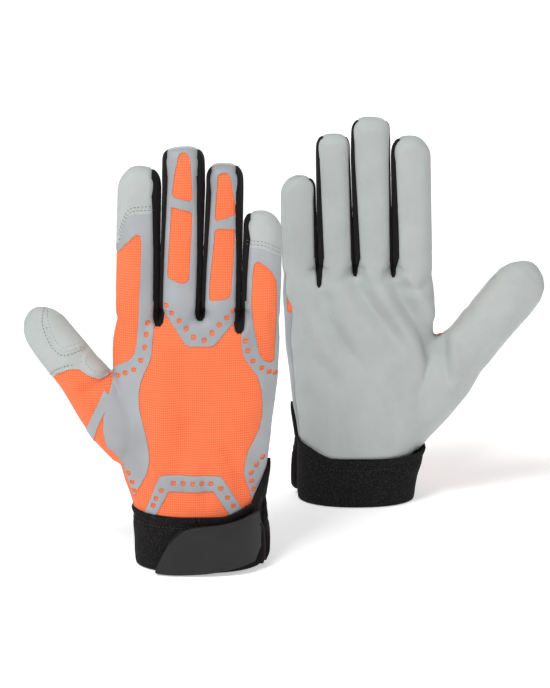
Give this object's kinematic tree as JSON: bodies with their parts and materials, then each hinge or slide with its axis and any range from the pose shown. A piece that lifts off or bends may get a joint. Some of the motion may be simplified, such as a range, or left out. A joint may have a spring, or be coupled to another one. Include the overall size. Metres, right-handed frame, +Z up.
{
  "type": "work gloves",
  "caption": "Knit and leather work gloves standing on their cuffs, with fingers and thumbs that bend at the base and a wrist strap that peels open.",
  "frame": {"origin": "centre of the bounding box in plan, at the level of the cuffs' lower edges", "axes": "+X across the pair, +Y from the front glove to the rear one, +Z up along the fingers"},
  "size_m": [0.2988, 0.1644, 0.2396],
  "materials": {
    "orange_knit": "matte ribbed stretch knit",
    "grey_leather": "smooth matte grain",
    "black_knit": "matte stretch knit",
    "reflective_film": "matte silver-grey printed film",
    "cuff_elastic": "matte elastic knit",
    "strap_skin": "fine-grained matte synthetic leather",
    "fastening_tape": "woven hook and loop tape"
  },
  "bodies": {
    "pair": {"front_back_panel": "orange_knit", "front_palm_panel": "grey_leather", "front_thumb_side_film": "reflective_film", "front_knuckle_film": "reflective_film", "front_ulnar_film": "reflective_film", "front_wrist_film": "reflective_film", "front_cuff_band": "cuff_elastic", "front_vent_binding": "black_knit", "front_cuff_loop_patch": "fastening_tape", "rear_back_panel": "orange_knit", "rear_palm_panel": "grey_leather", "rear_thumb_side_film": "reflective_film", "rear_knuckle_film": "reflective_film", "rear_ulnar_film": "reflective_film", "rear_wrist_film": "reflective_film", "rear_cuff_band": "cuff_elastic", "rear_vent_binding": "black_knit", "rear_cuff_loop_patch": "fastening_tape"},
    "front_index_finger": {"front_index_back": "orange_knit", "front_index_front": "grey_leather", "front_index_fourchette": "black_knit", "front_index_tip_cap": "grey_leather"},
    "front_middle_finger": {"front_middle_back": "orange_knit", "front_middle_front": "grey_leather", "front_middle_fourchette": "black_knit"},
    "front_ring_finger": {"front_ring_back": "orange_knit", "front_ring_front": "grey_leather", "front_ring_fourchette": "black_knit"},
    "front_little_finger": {"front_little_back": "orange_knit", "front_little_front": "grey_leather", "front_little_fourchette": "black_knit", "front_little_tip_cap": "grey_leather"},
    "front_thumb": {"front_thumb_back": "orange_knit", "front_thumb_cap": "grey_leather", "front_thumb_front": "grey_leather"},
    "front_strap": {"front_strap_tab": "strap_skin", "front_strap_hook_patch": "fastening_tape"},
    "rear_index_finger": {"rear_index_back": "orange_knit", "rear_index_front": "grey_leather", "rear_index_fourchette": "black_knit", "rear_index_tip_cap": "grey_leather"},
    "rear_middle_finger": {"rear_middle_back": "orange_knit", "rear_middle_front": "grey_leather", "rear_middle_fourchette": "black_knit"},
    "rear_ring_finger": {"rear_ring_back": "orange_knit", "rear_ring_front": "grey_leather", "rear_ring_fourchette": "black_knit"},
    "rear_little_finger": {"rear_little_back": "orange_knit", "rear_little_front": "grey_leather", "rear_little_fourchette": "black_knit", "rear_little_tip_cap": "grey_leather"},
    "rear_thumb": {"rear_thumb_back": "orange_knit", "rear_thumb_cap": "grey_leather", "rear_thumb_front": "grey_leather"},
    "rear_strap": {"rear_strap_tab": "strap_skin", "rear_strap_hook_patch": "fastening_tape"}
  },
  "joints": [
    {"name": "front_index_bend", "type": "hinge", "parent": "pair", "child": "front_index_finger", "pos_m": [-0.08508, -0.055, 0.155], "axis": [-1, 0, 0], "range_deg": [-15, 78]},
    {"name": "front_middle_bend", "type": "hinge", "parent": "pair", "child": "front_middle_finger", "pos_m": [-0.06038, -0.055, 0.155], "axis": [-1, 0, 0], "range_deg": [-15, 78]},
    {"name": "front_ring_bend", "type": "hinge", "parent": "pair", "child": "front_ring_finger", "pos_m": [-0.03828, -0.055, 0.155], "axis": [-1, 0, 0], "range_deg": [-15, 78]},
    {"name": "front_little_bend", "type": "hinge", "parent": "pair", "child": "front_little_finger", "pos_m": [-0.01698, -0.055, 0.155], "axis": [-1, 0, 0], "range_deg": [-15, 78]},
    {"name": "front_thumb_bend", "type": "hinge", "parent": "pair", "child": "front_thumb", "pos_m": [-0.11979, -0.055, 0.11153], "axis": [-0.7723, 0, -0.6353], "range_deg": [-30, 28]},
    {"name": "front_strap_peel", "type": "hinge", "parent": "pair", "child": "front_strap", "pos_m": [-0.01898, -0.0732, 0.017], "axis": [0, 0, 1], "range_deg": [0, 150]},
    {"name": "rear_index_bend", "type": "hinge", "parent": "pair", "child": "rear_index_finger", "pos_m": [0.07213, 0.055, 0.155], "axis": [1, 0, 0], "range_deg": [-15, 78]},
    {"name": "rear_middle_bend", "type": "hinge", "parent": "pair", "child": "rear_middle_finger", "pos_m": [0.04743, 0.055, 0.155], "axis": [1, 0, 0], "range_deg": [-15, 78]},
    {"name": "rear_ring_bend", "type": "hinge", "parent": "pair", "child": "rear_ring_finger", "pos_m": [0.02533, 0.055, 0.155], "axis": [1, 0, 0], "range_deg": [-15, 78]},
    {"name": "rear_little_bend", "type": "hinge", "parent": "pair", "child": "rear_little_finger", "pos_m": [0.00403, 0.055, 0.155], "axis": [1, 0, 0], "range_deg": [-15, 78]},
    {"name": "rear_thumb_bend", "type": "hinge", "parent": "pair", "child": "rear_thumb", "pos_m": [0.11279, 0.055, 0.10453], "axis": [0.7915, 0, -0.6112], "range_deg": [-10, 45]},
    {"name": "rear_strap_peel", "type": "hinge", "parent": "pair", "child": "rear_strap", "pos_m": [0.00603, 0.0732, 0.017], "axis": [0, 0, 1], "range_deg": [0, 150]}
  ]
}
